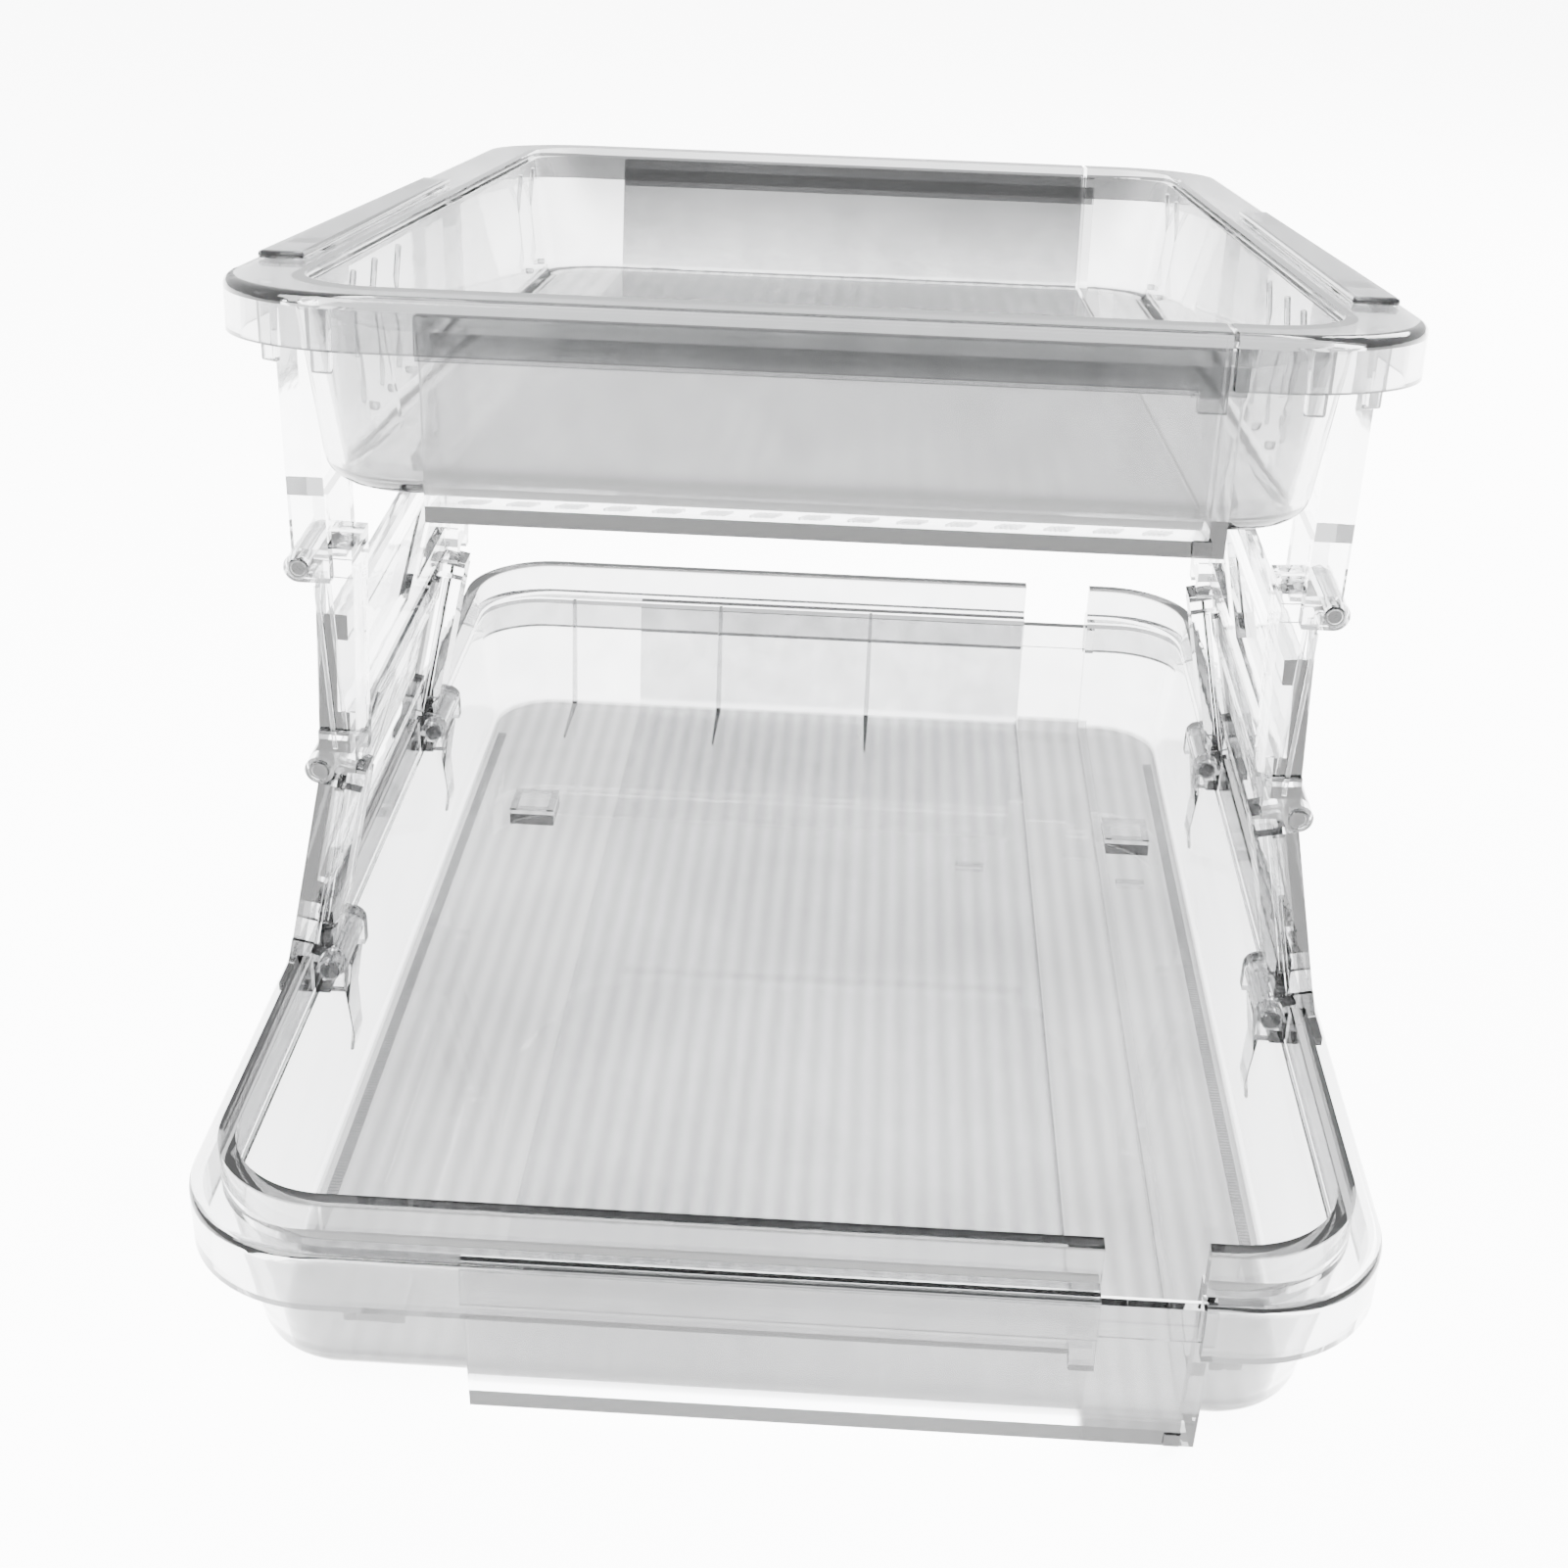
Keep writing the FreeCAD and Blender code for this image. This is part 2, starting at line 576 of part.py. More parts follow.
def buildPins(name, way, height, half):
    """One pin at each of the side's two hinges."""
    body = document.addObject("Part::Compound", name)
    pins = []
    for hinge, y in hingeYs.items():
        pin = document.addObject("Part::Cylinder", name + "_" + hinge)
        bind(pin, "Radius", "pinRadius")
        bind(pin, "Height", "2 * " + half)
        pin.Placement = FreeCAD.Placement(FreeCAD.Vector(), FreeCAD.Rotation(FreeCAD.Vector(1, 0, 0), -90))
        place(pin, sided(way, pivotX), y + " - " + half, height)
        pins.append(pin)
    body.Links = pins
    body.Label = name
    subParts.append(body)


def buildRimPlate(side, way):
    """A raised plate on the upper tray's side flange, above both hangers."""
    plate = document.addObject("Part::Box", side + "_rim_plate")
    plate.Label = side + "_rim_plate"
    bind(plate, "Length", "rimPlateWidth")
    bind(plate, "Width", rearY + " - " + frontY + " + 2 * rimPlateMargin")
    bind(plate, "Height", "rimPlateHeight")
    plate.Placement = FreeCAD.Placement(FreeCAD.Vector(), FreeCAD.Rotation(FreeCAD.Vector(1, 0, 0), -1))
    bind(plate, ".Placement.Rotation.Angle", "-1 * upperPitch")
    start = "(" + frontY + " - rimPlateMargin)"
    place(plate, sided(way, upperHalfWidth + " - rimFillet") + (" - rimPlateWidth" if way > 0 else ""),
          start, upperZ + " - (" + start + " - " + upperY + ") * tan(upperPitch * 1 deg)")
    subParts.append(plate)


for side, way in (("left", -1), ("right", 1)):
    buildLowerPanel(side, way)
    buildUpperPanel(side, way)
    for hinge, y in hingeYs.items():
        buildHingeBlock(side, way, hinge, y)
        buildHanger(side, way, hinge, y)
    buildPins(side + "_base_pins", way, baseHeight, lugHalf)
    buildPins(side + "_knee_pins", way, kneeHeight, "(kneeKnuckleHalf + hingeGap + lugThickness)")
    buildPins(side + "_top_pins", way, topHeight, lugHalf)
    buildRimPlate(side, way)

document.recompute()
for item in document.Objects:
    if "Invalid" in item.State or "Error" in item.State:
        raise RuntimeError(item.Label + " failed: " + str(item.State))
for item in subParts:
    if item.Shape.isNull() or not item.Shape.isValid():
        raise RuntimeError(item.Label + " has no valid shape")
os.makedirs("parts", exist_ok=True)
for item in subParts:
    item.Shape.exportStep("parts/" + item.Label + ".step")
    print(item.Label, len(item.Shape.Solids), round(item.Shape.Volume))
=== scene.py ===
import json
import math
import bpy
from mathutils import Matrix, Vector


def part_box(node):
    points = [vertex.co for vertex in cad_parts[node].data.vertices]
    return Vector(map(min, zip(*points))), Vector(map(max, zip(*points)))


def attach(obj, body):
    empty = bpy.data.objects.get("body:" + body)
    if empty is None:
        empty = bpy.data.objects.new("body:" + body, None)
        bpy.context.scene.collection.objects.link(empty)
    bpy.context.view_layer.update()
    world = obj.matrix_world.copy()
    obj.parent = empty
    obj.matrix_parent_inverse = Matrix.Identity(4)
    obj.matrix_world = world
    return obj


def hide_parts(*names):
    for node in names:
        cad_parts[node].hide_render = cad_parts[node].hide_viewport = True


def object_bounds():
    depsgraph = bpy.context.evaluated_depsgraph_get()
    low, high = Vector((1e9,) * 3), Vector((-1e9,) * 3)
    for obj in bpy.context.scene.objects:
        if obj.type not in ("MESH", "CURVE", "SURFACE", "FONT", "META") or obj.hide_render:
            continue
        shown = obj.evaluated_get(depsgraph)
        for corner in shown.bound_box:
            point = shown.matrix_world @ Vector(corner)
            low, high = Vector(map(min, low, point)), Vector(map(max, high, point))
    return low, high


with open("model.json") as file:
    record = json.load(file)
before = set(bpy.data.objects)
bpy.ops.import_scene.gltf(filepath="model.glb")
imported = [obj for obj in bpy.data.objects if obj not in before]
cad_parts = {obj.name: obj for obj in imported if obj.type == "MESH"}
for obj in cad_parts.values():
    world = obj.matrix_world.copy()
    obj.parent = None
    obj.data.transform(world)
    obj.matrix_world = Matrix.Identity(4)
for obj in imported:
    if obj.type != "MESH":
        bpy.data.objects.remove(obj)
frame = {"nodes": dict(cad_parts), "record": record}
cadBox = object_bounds()
print("frame loaded")

mm = 0.001
sides = (("left", -1), ("right", 1))
faces = (("A", -1), ("B", 1))
lowerLow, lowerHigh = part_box("lower_left_half")
upperLow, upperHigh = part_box("upper_left_half")
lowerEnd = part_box("lower_right_half")[1].x
upperEnd = abs(upperLow.x)
joints = {joint["name"]: joint for joint in frame["record"]["behaviour"]["joints"]}
hingeYs = {part: sum(corner.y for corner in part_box("left_%s_hinge_block" % part)) / 2
           for part in ("front", "rear")}
hingeMid = (hingeYs["front"] + hingeYs["rear"]) / 2

# the trays' make, with the upper one's own frame worked out from its box
tray = {"curb": 10 * mm, "pitch": math.radians(7.2), "wall": 2.8 * mm, "deep": 38.5 * mm,
        "halfDepth": (lowerHigh.y - lowerLow.y) / 2, "apron": 10 * mm, "rimRound": 2 * mm}
flangeZ = lowerHigh.z - tray["curb"]
floorZ = flangeZ - tray["deep"] + tray["wall"]
sine, cosine = math.sin(tray["pitch"]), math.cos(tray["pitch"])
upperY = upperLow.y + tray["halfDepth"] * cosine + tray["apron"] * sine
upperZ = upperHigh.z - (tray["halfDepth"] - tray["rimRound"]) * sine - tray["rimRound"] * (1 - cosine)
upperFrame = Matrix.Translation((0, upperY, upperZ)) @ Matrix.Rotation(-tray["pitch"], 4, "X")
lowerFrame = Matrix.Translation((0, 0, flangeZ))

# the lower panels' length between hinges, their lean and half the depth of a post
link = {"long": 49 * mm, "lean": math.radians(12), "postHalf": 7 * mm}


class Wire:
    def __init__(self, kit, socket):
        self.kit = kit
        self.socket = socket

    def __add__(self, other):
        return self.kit.reckon("ADD", self, other)

    def __radd__(self, other):
        return self.kit.reckon("ADD", other, self)

    def __sub__(self, other):
        return self.kit.reckon("SUBTRACT", self, other)

    def __rsub__(self, other):
        return self.kit.reckon("SUBTRACT", other, self)

    def __mul__(self, other):
        return self.kit.reckon("MULTIPLY", self, other)

    def __rmul__(self, other):
        return self.kit.reckon("MULTIPLY", other, self)


class Kit:
    def __init__(self, name):
        self.material = bpy.data.materials.new(name)
        self.material.use_nodes = True
        self.tree = self.material.node_tree
        self.tree.nodes.clear()

    # settings are the node's own properties; values go to its sockets by place or name
    def add(self, kind, settings=None, values=None):
        node = self.tree.nodes.new(kind)
        for name, value in (settings or {}).items():
            setattr(node, name, value)
        pairs = values.items() if isinstance(values, dict) else enumerate(values or [])
        for key, value in pairs:
            if isinstance(value, Wire):
                self.tree.links.new(value.socket, node.inputs[key])
            else:
                node.inputs[key].default_value = value
        return node

    def wire(self, node, name=0):
        return Wire(self, node.outputs[name])

    def reckon(self, operation, *values):
        return self.wire(self.add("ShaderNodeMath", {"operation": operation}, values))

    def coordinates(self, scale=(1, 1, 1)):
        place = self.wire(self.add("ShaderNodeTexCoord"), "Object")
        return self.wire(self.add("ShaderNodeMapping", None, {"Vector": place, "Scale": scale}))

    def noise(self, place, scale, detail=3):
        values = {"Vector": place, "Scale": scale, "Detail": detail, "Roughness": 0.55}
        return self.wire(self.add("ShaderNodeTexNoise", None, values), "Fac")

    # a mix of two colours, each one a wire or three numbers
    def blend(self, amount, first, second):
        colours = [each if isinstance(each, Wire) else (*each, 1) for each in (first, second)]
        values = {0: amount, 6: colours[0], 7: colours[1]}
        return self.wire(self.add("ShaderNodeMix", {"data_type": "RGBA"}, values), 2)

    # runs smoothly from 0 at the first value to 1 at the last
    def ease(self, value, first, last):
        values = {"Value": value, "From Min": first, "From Max": last}
        return self.wire(self.add("ShaderNodeMapRange", {"interpolation_type": "SMOOTHSTEP"}, values))

    def bump(self, height, strength, distance):
        values = {"Height": height, "Strength": strength, "Distance": distance}
        return self.wire(self.add("ShaderNodeBump", None, values))


def grey(value):
    return (value, value * 1.003, value * 1.008)


# painted shade on a tray, standing in for refraction and reflection: the ribbed floor, the back, the low
# front sill and the rim's top edge are greyed, and the floor's skin outside the ribbed part is lightened
def paintFloorShade(kit, tint, cloud, x, y, z, floor):
    height = y * floor["slope"][0] + z * floor["slope"][1] - floor["level"]
    flat = kit.ease(height, floor["skin"], 0)
    low = flat * kit.ease(x, floor["start"] - floor["soft"], floor["start"] + floor["soft"])
    bands = kit.reckon("SINE", x * (2 * math.pi / floor["pitch"]))
    amount = bands * floor["bandShare"] + cloud * floor["cloudShare"]
    shade = kit.blend(amount, grey(floor["dark"]), grey(floor["light"]))
    back = kit.ease(y, floor["back"] - floor["backSoft"], floor["back"] + floor["backSoft"])
    tint = kit.blend(back, tint, kit.blend(cloud, grey(floor["backDark"]), grey(floor["backLight"])))
    front = kit.ease(y, floor["front"] + floor["sillSoft"], floor["front"])
    sill = front * kit.ease(height, floor["sillTop"], floor["sillFull"])
    tint = kit.blend(sill, tint, grey(floor["sill"]))
    tint = kit.blend(low, kit.blend(flat, tint, grey(floor["under"])), shade)
    top = kit.ease(height, floor["top"] - floor["rimLow"], floor["top"] - floor["rimFull"])
    return kit.blend(top, tint, grey(floor["rim"]))


# painted shade: the dark line down the outer edge of each post, standing in for refraction at the edge
def paintEdgeShade(kit, tint, x, y, z, edge):
    outward = kit.reckon("ABSOLUTE", x) - edge["out"] - (edge["above"] - z) * edge["lean"]
    along = kit.reckon("ABSOLUTE", y - edge["middle"])
    post = kit.ease(along, edge["post"] - edge["postSoft"], edge["post"])
    outer = kit.ease(outward, -edge["width"], -edge["width"] + edge["soft"])
    return kit.blend(post * outer, tint, grey(edge["dark"]))


# shares of the two noises in the tint and in the bump, and the scale of fine scratches
grain = {"cloud": 0.6, "flow": 0.4, "stretch": (18, 3, 18), "flowDetail": 2, "scratch": 900,
         "scratchDetail": 5, "worn": 60, "bumpFlow": 0.7, "bumpCloud": 0.3, "bumpDeep": 0.4 * mm,
         "index": 1.47}


# clear moulded plastic: refracts, mirrors a little and lets lamp light straight through
def clearPlastic(name, look, floor=None, edge=None):
    kit = Kit(name)
    place = kit.coordinates()
    cloud = kit.noise(place, look["cloudScale"])
    flow = kit.noise(kit.coordinates(grain["stretch"]), look["flowScale"], grain["flowDetail"])
    amount = cloud * grain["cloud"] + flow * grain["flow"]
    tint = kit.blend(amount, grey(look["dark"]), grey(look["light"]))
    apart = kit.add("ShaderNodeSeparateXYZ", None, {"Vector": place})
    x, y, z = (kit.wire(apart, axis) for axis in ("X", "Y", "Z"))
    # floor and edge plans add painted shade to the tint
    if floor:
        tint = paintFloorShade(kit, tint, cloud, x, y, z, floor)
    if edge:
        tint = paintEdgeShade(kit, tint, x, y, z, edge)
    scuff = kit.noise(place, grain["scratch"], grain["scratchDetail"]) * kit.noise(place, grain["worn"])
    rough = look["rough"] + scuff * look["scuff"]
    height = flow * grain["bumpFlow"] + cloud * grain["bumpCloud"]
    normal = kit.bump(height, look["ripple"], grain["bumpDeep"])
    values = {"Base Color": tint, "Roughness": rough, "Normal": normal,
              "Transmission Weight": 1.0, "IOR": grain["index"]}
    plastic = kit.wire(kit.add("ShaderNodeBsdfPrincipled", None, values))
    through = kit.wire(kit.add("ShaderNodeBsdfTransparent", None, {"Color": (*grey(look["pass"]), 1)}))
    lamp = kit.wire(kit.add("ShaderNodeLightPath"), "Is Shadow Ray")
    mixed = kit.wire(kit.add("ShaderNodeMixShader", None, [lamp, plastic, through]))
    kit.add("ShaderNodeOutputMaterial", None, [mixed])
    return kit.material


clearLooks = {
    "clear_tray": {"dark": 0.34, "light": 0.72, "rough": 0.01, "scuff": 0.08, "ripple": 0.12,
                   "cloudScale": 9, "flowScale": 6, "pass": 0.97},
    "clear_frame": {"dark": 0.62, "light": 0.88, "rough": 0.015, "scuff": 0.1, "ripple": 0.2,
                    "cloudScale": 25, "flowScale": 14, "pass": 0.95},
    "clear_pin": {"dark": 0.55, "light": 0.75, "rough": 0.05, "scuff": 0.1, "ripple": 0.1,
                  "cloudScale": 80, "flowScale": 60, "pass": 0.9},
    # painted shade: dark_edge is a near-black clear material for pieces that stand in for shade and
    # reflection
    "dark_edge": {"dark": 0.05, "light": 0.14, "rough": 0.06, "scuff": 0.1, "ripple": 0.15,
                  "cloudScale": 120, "flowScale": 60, "pass": 0.6},
}
clear = {name: clearPlastic(name, look) for name, look in clearLooks.items()}

# where each part of the painted shade begins, how softly and how dark it is painted; beyond is further than
# any piece reaches
beyond = 1
trayFloorShade = {"pitch": 5.3 * mm, "dark": 0.07, "light": 0.24, "bandShare": 0.12, "cloudShare": 0.9,
             "start": -beyond, "soft": 1 * mm, "skin": 1.5 * mm, "under": 0.93, "backSoft": 4 * mm,
             "sill": 0.3, "sillSoft": 2 * mm, "sillTop": 5 * mm, "sillFull": 3 * mm,
             "rim": 0.02, "rimLow": 0.8 * mm, "rimFull": 0.2 * mm}
lowerFloorShade = dict(trayFloorShade, slope=(0, 1), level=floorZ, top=lowerHigh.z - floorZ, front=-153 * mm,
                  back=beyond, backDark=0.5, backLight=0.8)
upperNormal = Vector((0, sine, cosine))
upperFloorShade = dict(trayFloorShade, slope=(sine, cosine), top=beyond, dark=0.2, light=0.5, front=-112 * mm,
                  level=upperNormal.dot(Vector((0, upperY, upperZ))) - tray["deep"] + tray["wall"],
                  back=197 * mm, backDark=0.1, backLight=0.3)

# the right halves get the painted rib shade only outside their tongues, which lie under the left halves
for name, plan, start in (("lower", lowerFloorShade, lowerEnd - 58 * mm), ("upper", upperFloorShade, 72 * mm)):
    clear[name + "_left"] = clearPlastic(name + "_left", clearLooks["clear_tray"], floor=plan)
    outside = dict(plan, start=start)
    clear[name + "_right"] = clearPlastic(name + "_right", clearLooks["clear_tray"], floor=outside)
kneeAt = Vector(joints["left_knee"]["pos_m"])
# painted shade along the outer edges of the lower panels' posts
panelEdgeShade = {"middle": hingeMid, "post": (hingeYs["rear"] - hingeYs["front"]) / 2 - link["postHalf"],
             "postSoft": 0.6 * mm, "out": abs(kneeAt.x), "above": kneeAt.z, "lean": math.tan(link["lean"]),
             "width": 3.2 * mm, "soft": 0.4 * mm, "dark": 0.07}
clear["lower_panel"] = clearPlastic("lower_panel", clearLooks["clear_frame"], edge=panelEdgeShade)
print("materials made")

slots = {entry["node"]: entry["material_slot"] for entry in frame["record"]["subparts"]}
special = {"lower_left_half": "lower_left", "lower_right_half": "lower_right",
           "upper_left_half": "upper_left", "upper_right_half": "upper_right",
           "left_lower_panel": "lower_panel", "right_lower_panel": "lower_panel"}
for name, piece in frame["nodes"].items():
    piece.data.materials.clear()
    piece.data.materials.append(clear[special.get(name, slots[name])])


# one small block with soft edges, centred on the origin
def mould(name, size, soft):
    bpy.ops.object.select_all(action="DESELECT")
    bpy.ops.mesh.primitive_cube_add(size=1)
    piece = bpy.context.object
    piece.name = name
    piece.scale = size
    bpy.ops.object.transform_apply(location=False, rotation=False, scale=True)
    bevel = piece.modifiers.new("soft", "BEVEL")
    bevel.width = soft
    bevel.segments = 2
    bpy.ops.object.modifier_apply(modifier="soft")
    return piece


# make the end of a piece that faces the given way smaller or larger
def taper(piece, way, factors):
    bpy.ops.object.mode_set(mode="EDIT")
    bpy.ops.mesh.select_all(action="DESELECT")
    bpy.ops.object.mode_set(mode="OBJECT")
    reach = max(vertex.co.dot(Vector(way)) for vertex in piece.data.vertices)
    for vertex in piece.data.vertices:
        vertex.select = vertex.co.dot(Vector(way)) > reach * 0.5
    bpy.ops.object.mode_set(mode="EDIT")
    bpy.ops.transform.resize(value=factors, center_override=tuple(Vector(way) * reach))
    bpy.ops.object.mode_set(mode="OBJECT")


def repeat(piece, count, step):
    row = piece.modifiers.new("row", "ARRAY")
    row.count = count
    row.use_relative_offset = False
    row.use_constant_offset = True
    row.constant_offset_displace = step
    bpy.ops.object.modifier_apply(modifier="row")


def copyPiece(piece, name):
    twin = piece.copy()
    twin.data = piece.data.copy()
    twin.name = name
    bpy.context.collection.objects.link(twin)
    return twin


# put a piece in its place for good and say what carries it
def settle(piece, where, body, look):
    bpy.ops.object.select_all(action="DESELECT")
    bpy.context.view_layer.objects.active = piece
    piece.select_set(True)
    piece.matrix_world = where
    bpy.ops.object.transform_apply(location=True, rotation=True, scale=True)
    piece.data.materials.clear()
    piece.data.materials.append(clear[look])
    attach(piece, body)
    "clear_tray" if look == "dark_edge" else look


def at(x, y, z, turn=0, axis="Z"):
    return Matrix.Translation((x, y, z)) @ Matrix.Rotation(turn, 4, axis)


# upright ribs on the lower tray's back wall, each with a foot running out on the floor; all but the first
# foot are near black as painted shade
ribs = {"across": (-82 * mm, -35 * mm, 13 * mm), "wide": 1.6 * mm, "proud": 2.2 * mm, "tilt": -0.1,
        "foot": 26 * mm, "footHigh": 1.2 * mm, "footGap": 2 * mm, "backFace": 156.2 * mm, "soft": 0.3 * mm}
ribHigh = flangeZ - floorZ
upright = mould("backRib", (ribs["wide"], ribs["proud"], ribHigh), ribs["soft"])
taper(upright, (0, 0, 1), (0.75, 0.8, 1))
foot = mould("backRibFoot", (ribs["wide"], ribs["foot"], ribs["footHigh"]), ribs["soft"])
taper(foot, (0, -1, 0), (0.4, 1, 0.5))
for index, across in enumerate(ribs["across"]):
    spot = at(across, ribs["backFace"] - ribs["proud"] / 2, floorZ + ribHigh / 2, ribs["tilt"], "X")
    settle(copyPiece(upright, "backRib%d" % index), spot, "lower_left", "clear_tray")
    spot = at(across, ribs["backFace"] - ribs["foot"] / 2 - ribs["footGap"], floorZ + ribs["footHigh"] / 2)
    # painted shade: the later rib feet get the near-black material
    look = "dark_edge" if index else "clear_tray"
    settle(copyPiece(foot, "backRibFoot%d" % index), spot, "lower_left", look)
bpy.data.objects.remove(upright)
bpy.data.objects.remove(foot)
print("back ribs made")

# pads below the hinges, which slant through the lower side walls
gusset = {"high": 27 * mm, "wide": 13 * mm, "proud": 1.6 * mm, "inset": 11.9 * mm, "behind": 12 * mm,
          "above": 19 * mm, "tilt": 0.13, "soft": 0.6 * mm}
pad = mould("wallPad", (gusset["proud"], gusset["wide"], gusset["high"]), gusset["soft"])
taper(pad, (0, 0, -1), (0.5, 0.62, 1))
for side, way in sides:
    for part, y in hingeYs.items():
        spot = at(way * (lowerEnd - gusset["inset"]), y + gusset["behind"], floorZ + gusset["above"],
                  -way * gusset["tilt"], "Y")
        settle(copyPiece(pad, "%s_%s_wallPad" % (side, part)), spot, "lower_" + side, "clear_tray")
bpy.data.objects.remove(pad)

# rows of fine teeth where the ribbed floors meet the lower side walls
teeth = {"pitch": 1.1 * mm, "long": 2.6 * mm, "wide": 0.6 * mm, "high": 0.7 * mm, "count": 236,
         "inset": 18.2 * mm, "soft": 0.1 * mm}
tooth = mould("floorTeeth", (teeth["long"], teeth["wide"], teeth["high"]), teeth["soft"])
repeat(tooth, teeth["count"], (0, teeth["pitch"], 0))
for side, way in sides:
    spot = at(way * (lowerEnd - teeth["inset"]), -teeth["pitch"] * teeth["count"] / 2,
              floorZ + teeth["high"] / 2)
    settle(copyPiece(tooth, side + "FloorTeeth"), spot, "lower_" + side, "clear_tray")
bpy.data.objects.remove(tooth)
print("wall pads and teeth made")

# square rims round the rear feet, showing through the floor
ring = {"side": 13 * mm, "bar": 2 * mm, "high": 0.6 * mm, "back": 86 * mm, "soft": 0.15 * mm,
        "inset": {"left": 35 * mm, "right": 28.5 * mm}}


# two short bars between two long ones, joined in a square
def footRing(name):
    shortBar = mould(name, (ring["side"] - 2 * ring["bar"], ring["bar"], ring["high"]), ring["soft"])
    longBar = mould(name, (ring["side"], ring["bar"], ring["high"]), ring["soft"])
    bars = [shortBar, longBar, copyPiece(shortBar, name), copyPiece(longBar, name)]
    outward = at(0, (ring["side"] - ring["bar"]) / 2, 0)
    bpy.ops.object.select_all(action="DESELECT")
    for index, bar in enumerate(bars):
        bar.matrix_world = Matrix.Rotation(index * math.pi / 2, 4, "Z") @ outward
        bar.select_set(True)
    bpy.context.view_layer.objects.active = shortBar
    bpy.ops.object.transform_apply(location=True, rotation=True, scale=True)
    bpy.ops.object.join()
    return bpy.context.object


rim = footRing("footRing")
for side, way in sides:
    spot = at(way * (lowerEnd - ring["inset"][side]), ring["back"], floorZ + ring["high"] / 2)
    settle(copyPiece(rim, side + "FootRing"), spot, "lower_" + side, "clear_pin")
bpy.data.objects.remove(rim)

# one small catch on each half's floor
catches = {"size": (8 * mm, 2.6 * mm, 1 * mm), "soft": 0.3 * mm,
           "left": (44.7 * mm, 59.4 * mm), "right": (90 * mm, 54 * mm)}
catch = mould("catch", catches["size"], catches["soft"])
for side, way in sides:
    spot = at(*catches[side], floorZ + catches["size"][2] / 2)
    settle(copyPiece(catch, side + "Catch"), spot, "lower_" + side, "clear_pin")
bpy.data.objects.remove(catch)
print("foot rings made")

# raised plates on the upper side rims, with softened edges and a narrower rear end
plates = {"wide": 9 * mm, "high": 1.6 * mm, "margin": 16 * mm, "short": 2 * mm, "inset": 6.5 * mm,
          "soft": 0.7 * mm}
plateLong = (hingeYs["rear"] - hingeYs["front"] + 2 * plates["margin"]) / cosine - plates["short"]
rimPlate = mould("rimPlate", (plates["wide"], plateLong, plates["high"]), plates["soft"])
taper(rimPlate, (0, 1, 0), (0.8, 1, 1))
for side, way in sides:
    plate = copyPiece(rimPlate, side + "_rimPlate")
    spot = at(way * (upperEnd - plates["inset"]), (hingeMid - upperY) / cosine, plates["high"] / 2)
    settle(plate, upperFrame @ spot, "upper_" + side, "clear_tray")
    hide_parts(side + "_rim_plate")
bpy.data.objects.remove(rimPlate)
print("rim plates made")

# ears that hang below the upper rim round its two front corners: inset, place along, turn
ears = {"wide": 4.6 * mm, "thick": 1.6 * mm, "low": 15 * mm, "soft": 0.5 * mm,
        "places": ((10.5 * mm, -149 * mm, 0.6), (22.5 * mm, -159.5 * mm, 0.15))}
earHigh = ears["low"] - tray["wall"]
ear = mould("ear", (ears["wide"], ears["thick"], earHigh), ears["soft"])
taper(ear, (0, 0, -1), (0.85, 0.9, 1))
for side, way in sides:
    for index, (inset, y, turn) in enumerate(ears["places"]):
        spot = at(way * (upperEnd - inset), y, -tray["wall"] - earHigh / 2, way * turn)
        settle(copyPiece(ear, "%s_ear_%d" % (side, index)), upperFrame @ spot, "upper_" + side, "clear_tray")
bpy.data.objects.remove(ear)

# thin ribs that slant through the upper side walls, each with a hooked foot
hooks = {"along": (-112 * mm, -93 * mm, -70 * mm, 96 * mm, 118 * mm), "wide": 1.2 * mm, "proud": 1.2 * mm,
         "high": 27 * mm, "drop": 3 * mm, "inset": 16.2 * mm, "tilt": 0.1, "soft": 0.25 * mm,
         "tip": (3.4 * mm, 2.4 * mm, 1.4 * mm), "tipIn": 3 * mm, "tipSoft": 0.3 * mm}
hookRib = mould("hookRib", (hooks["proud"], hooks["wide"], hooks["high"]), hooks["soft"])
hookTip = mould("hookTip", hooks["tip"], hooks["tipSoft"])
for side, way in sides:
    x = way * (upperEnd - hooks["inset"])
    for index, y in enumerate(hooks["along"]):
        spot = at(x, y, -hooks["high"] / 2 - hooks["drop"], -way * hooks["tilt"], "Y")
        rod = copyPiece(hookRib, "%s_hookRib_%d" % (side, index))
        settle(rod, upperFrame @ spot, "upper_" + side, "clear_tray")
        spot = at(x - way * hooks["tipIn"], y, -hooks["high"] - hooks["drop"])
        tip = copyPiece(hookTip, "%s_hookTip_%d" % (side, index))
        settle(tip, upperFrame @ spot, "upper_" + side, "clear_tray")
bpy.data.objects.remove(hookRib)
bpy.data.objects.remove(hookTip)
print("ears and hooks made")

# two rows of slanted grip strokes under the front edge of the upper tongue's floor
grip = {"stroke": (0.5 * mm, 3.4 * mm, 0.5 * mm), "slant": 0.6, "strokes": 5, "step": 0.95 * mm,
        "pads": 15, "pitch": 9.1 * mm, "rows": 2, "rowGap": 7 * mm, "left": -65 * mm,
        "front": -153 * mm, "under": 42 * mm, "soft": 0.1 * mm}
stroke = mould("gripStrokes", grip["stroke"], grip["soft"])
stroke.rotation_euler = (0, 0, -grip["slant"])
bpy.ops.object.transform_apply(location=False, rotation=True, scale=False)
repeat(stroke, grip["strokes"], (grip["step"], 0, 0))
repeat(stroke, grip["pads"], (grip["pitch"], 0, 0))
repeat(stroke, grip["rows"], (0, grip["rowGap"], 0))
spot = at(grip["left"], grip["front"], -grip["under"] - grip["stroke"][2] / 2)
settle(stroke, upperFrame @ spot, "upper_right", "clear_tray")

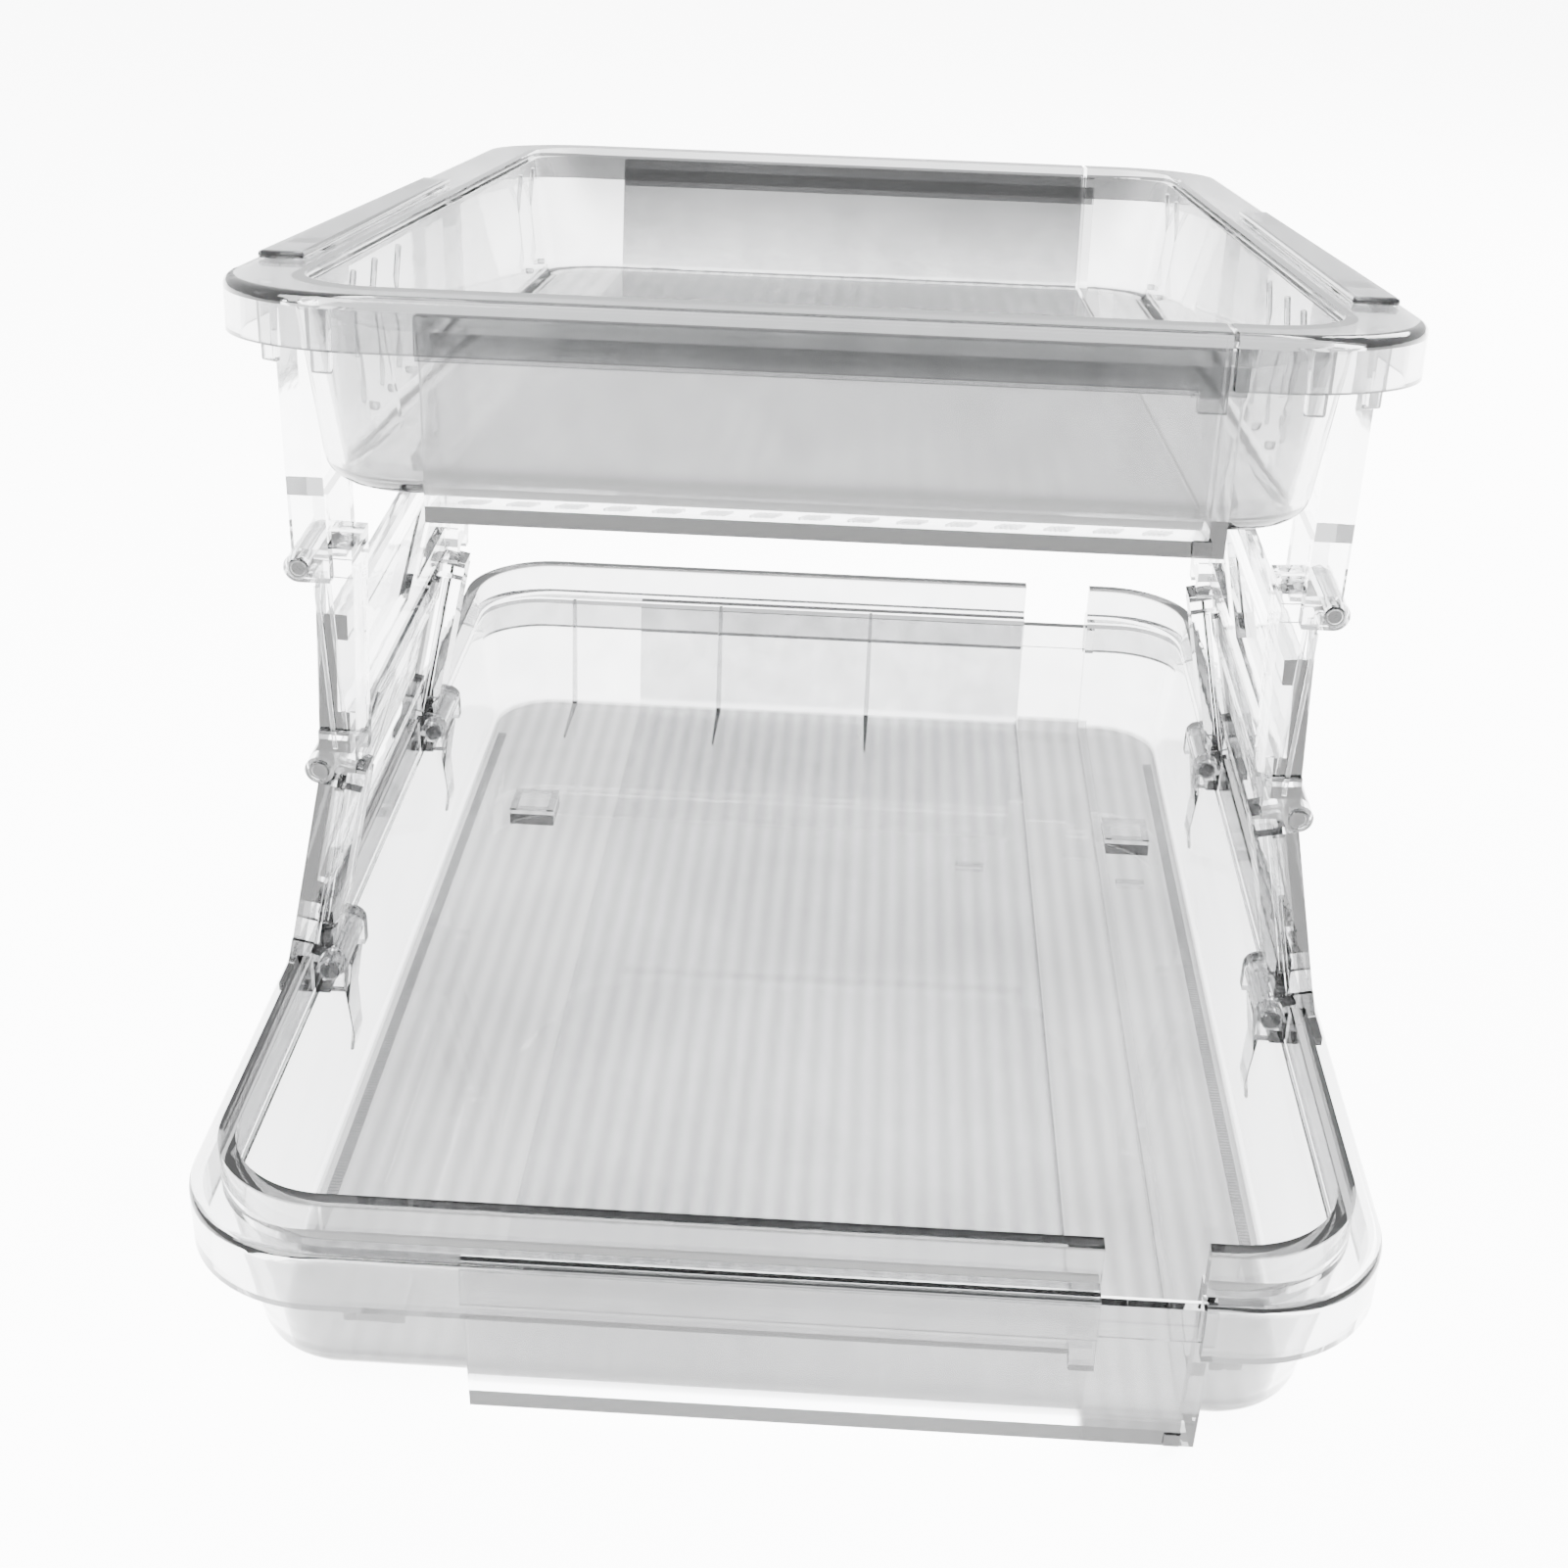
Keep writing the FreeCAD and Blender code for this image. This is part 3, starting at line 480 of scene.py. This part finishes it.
# the step where each tongue leaves its short half, as a small near-black block that paints the shade and
# internal reflection seen on its end face
step = {"size": (3.4 * mm, 0.6 * mm, 3.2 * mm), "soft": 0.2 * mm,
        "upper": (71 * mm, -158.3 * mm, -40 * mm), "lower": (80.2 * mm, -160.4 * mm, -40 * mm)}
square = mould("step", step["size"], step["soft"])
for level, own in (("upper", upperFrame), ("lower", lowerFrame)):
    settle(copyPiece(square, level + "Step"), own @ at(*step[level]), level + "_right", "dark_edge")
bpy.data.objects.remove(square)
print("grip strokes and steps made")

# round heads on the hinge pins; reach is from a hinge's middle to its pin's end
heads = {"radius": 2.3 * mm, "thick": 0.8 * mm, "dome": 0.3 * mm,
         "base": {"reach": 12 * mm, "body": "lower_%s"},
         "knee": {"reach": 8 * mm, "body": "%s_lower_panel"},
         "top": {"reach": 12 * mm, "body": "%s_upper_panel"}}
bpy.ops.object.select_all(action="DESELECT")
bpy.ops.mesh.primitive_cylinder_add(vertices=24, radius=heads["radius"], depth=heads["thick"])
head = bpy.context.object
head.name = "pinHead"
dome = head.modifiers.new("dome", "BEVEL")
dome.width = heads["dome"]
dome.segments = 3
bpy.ops.object.modifier_apply(modifier="dome")
for side, way in sides:
    for level in ("base", "knee", "top"):
        pinLow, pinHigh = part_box("%s_%s_pins" % (side, level))
        out = heads[level]["reach"] + heads["thick"] / 2
        for part, y in hingeYs.items():
            for letter, face in faces:
                spot = at((pinLow.x + pinHigh.x) / 2, y + face * out, (pinLow.z + pinHigh.z) / 2,
                          math.pi / 2, "X")
                cap = copyPiece(head, "%s_%s_%s_head%s" % (side, level, part, letter))
                settle(cap, spot, heads[level]["body"] % side, "clear_pin")
bpy.data.objects.remove(head)
print("pin heads made")

# fins on the posts' front and back faces, placed from each panel's lower joint
fins = {"wide": 1 * mm, "proud": 0.7 * mm, "soft": 0.2 * mm,
        "lower": {"joint": "left_base", "out": link["long"] * math.sin(link["lean"]) - 5.5 * mm,
                  "lean": link["lean"], "high": 41 * mm, "start": 3 * mm},
        "upper": {"joint": "left_knee", "out": -4 * mm, "lean": math.radians(-2.5), "high": 38 * mm,
                  "start": 5 * mm}}
for level in ("lower", "upper"):
    plan = fins[level]
    blade = mould("fin", (fins["wide"], fins["proud"], plan["high"]), fins["soft"])
    pivot = Vector(joints[plan["joint"]]["pos_m"])
    for side, way in sides:
        for part, y in hingeYs.items():
            stand = at(way * abs(pivot.x), y, pivot.z, -way * plan["lean"], "Y")
            for letter, face in faces:
                fin = copyPiece(blade, "%s_%s_%s_fin%s" % (side, level, part, letter))
                spot = at(way * plan["out"], face * (link["postHalf"] + fins["proud"] / 2),
                          plan["start"] + plan["high"] / 2)
                settle(fin, stand @ spot, "%s_%s_panel" % (side, level), "clear_frame")
    bpy.data.objects.remove(blade)
print("fins made")


# camera in front and above, measured from the lower tray's front edge and its rim
camera = {"lens": 50.78, "sensor": 36, "near": 0.01, "side": 10.5 * mm, "back": 327.4 * mm,
          "above": 279 * mm, "tilt": 0.483, "turn": 0.036, "roll": 0.033}


def placeCamera():
    data = bpy.data.cameras.new("camera")
    data.lens = camera["lens"]
    data.sensor_width = camera["sensor"]
    data.clip_start = camera["near"]
    viewer = bpy.data.objects.new("camera", data)
    bpy.context.collection.objects.link(viewer)
    eye = Vector((camera["side"], lowerLow.y - camera["back"], flangeZ + camera["above"]))
    viewer.matrix_world = (Matrix.Translation(eye) @ Matrix.Rotation(camera["turn"], 4, "Z")
                           @ Matrix.Rotation(math.pi / 2 - camera["tilt"], 4, "X")
                           @ Matrix.Rotation(camera["roll"], 4, "Z"))
    bpy.context.scene.camera = viewer


# a bright pale floor and an even pale sky
stage = {"size": 6, "below": 0.2 * mm, "patches": 3, "dark": (0.92, 0.92, 0.92),
         "light": (0.95, 0.95, 0.95), "rough": 0.9, "glow": 7.0, "sky": (0.98, 0.99, 1.0, 1),
         "skyStrength": 2.2}


def buildStage():
    bpy.ops.object.select_all(action="DESELECT")
    under = (0, 0, cadBox[0].z - stage["below"])
    bpy.ops.mesh.primitive_plane_add(size=stage["size"], location=under)
    floor = bpy.context.object
    floor.name = "floor"
    kit = Kit("pale_floor")
    tint = kit.blend(kit.noise(kit.coordinates(), stage["patches"]), stage["dark"], stage["light"])
    values = {"Base Color": tint, "Roughness": stage["rough"], "Emission Color": (1, 1, 1, 1),
              "Emission Strength": stage["glow"]}
    paper = kit.wire(kit.add("ShaderNodeBsdfPrincipled", None, values))
    kit.add("ShaderNodeOutputMaterial", None, [paper])
    floor.data.materials.append(kit.material)
    world = bpy.data.worlds.new("studio")
    bpy.context.scene.world = world
    world.use_nodes = True
    world.node_tree.nodes["Background"].inputs["Color"].default_value = stage["sky"]
    world.node_tree.nodes["Background"].inputs["Strength"].default_value = stage["skyStrength"]


lamps = {"keyLamp": {"size": 0.8, "power": 60, "place": (-0.7, -0.5, 1.1)},
         "rimLamp": {"size": 0.6, "power": 45, "place": (0.8, 0.7, 0.9)}}
lampTarget = Vector((0, 0, 0.1))


def addLamp(name, plan):
    data = bpy.data.lights.new(name, "AREA")
    data.size = plan["size"]
    data.energy = plan["power"]
    lamp = bpy.data.objects.new(name, data)
    bpy.context.collection.objects.link(lamp)
    lamp.location = plan["place"]
    lamp.rotation_euler = (lampTarget - Vector(plan["place"])).to_track_quat("-Z", "Y").to_euler()


placeCamera()
buildStage()
for name, plan in lamps.items():
    addLamp(name, plan)
print("stage set")
